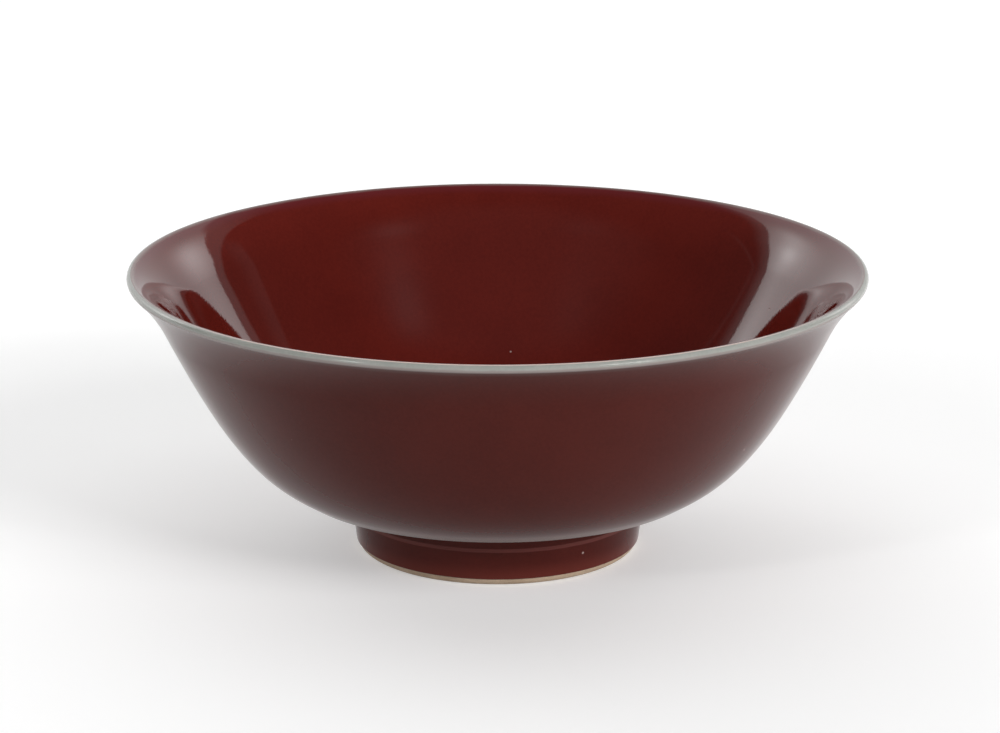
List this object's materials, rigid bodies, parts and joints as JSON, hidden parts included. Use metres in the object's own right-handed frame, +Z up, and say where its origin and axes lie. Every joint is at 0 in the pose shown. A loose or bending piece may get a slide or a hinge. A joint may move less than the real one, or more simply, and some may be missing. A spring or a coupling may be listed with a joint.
{
  "type": "porcelain bowl",
  "caption": "Wide porcelain bowl with a turned-out pale lip, red glaze inside and outside, and a tall foot ring with a bare standing edge, for serving food or display.",
  "frame": {"origin": "on the bowl's axis, in the plane of the table that the foot ring stands on", "axes": "+Z up along the axis of rotation, towards the open mouth; X and Y are free, as the bowl is round"},
  "size_m": [0.2, 0.2, 0.0784],
  "materials": {
    "porcelain": "matt",
    "biscuit": "bare fired, matt",
    "outer_red": "glossy",
    "inner_red": "glossy",
    "pale_lip": "glossy",
    "clear_glaze": "glossy"
  },
  "bodies": {
    "root": {"porcelain_wall": "porcelain", "foot_ring": "biscuit", "outer_red_glaze": "outer_red", "inner_red_glaze": "inner_red", "lip_glaze": "pale_lip", "foot_hollow_glaze": "clear_glaze"}
  },
  "joints": []
}
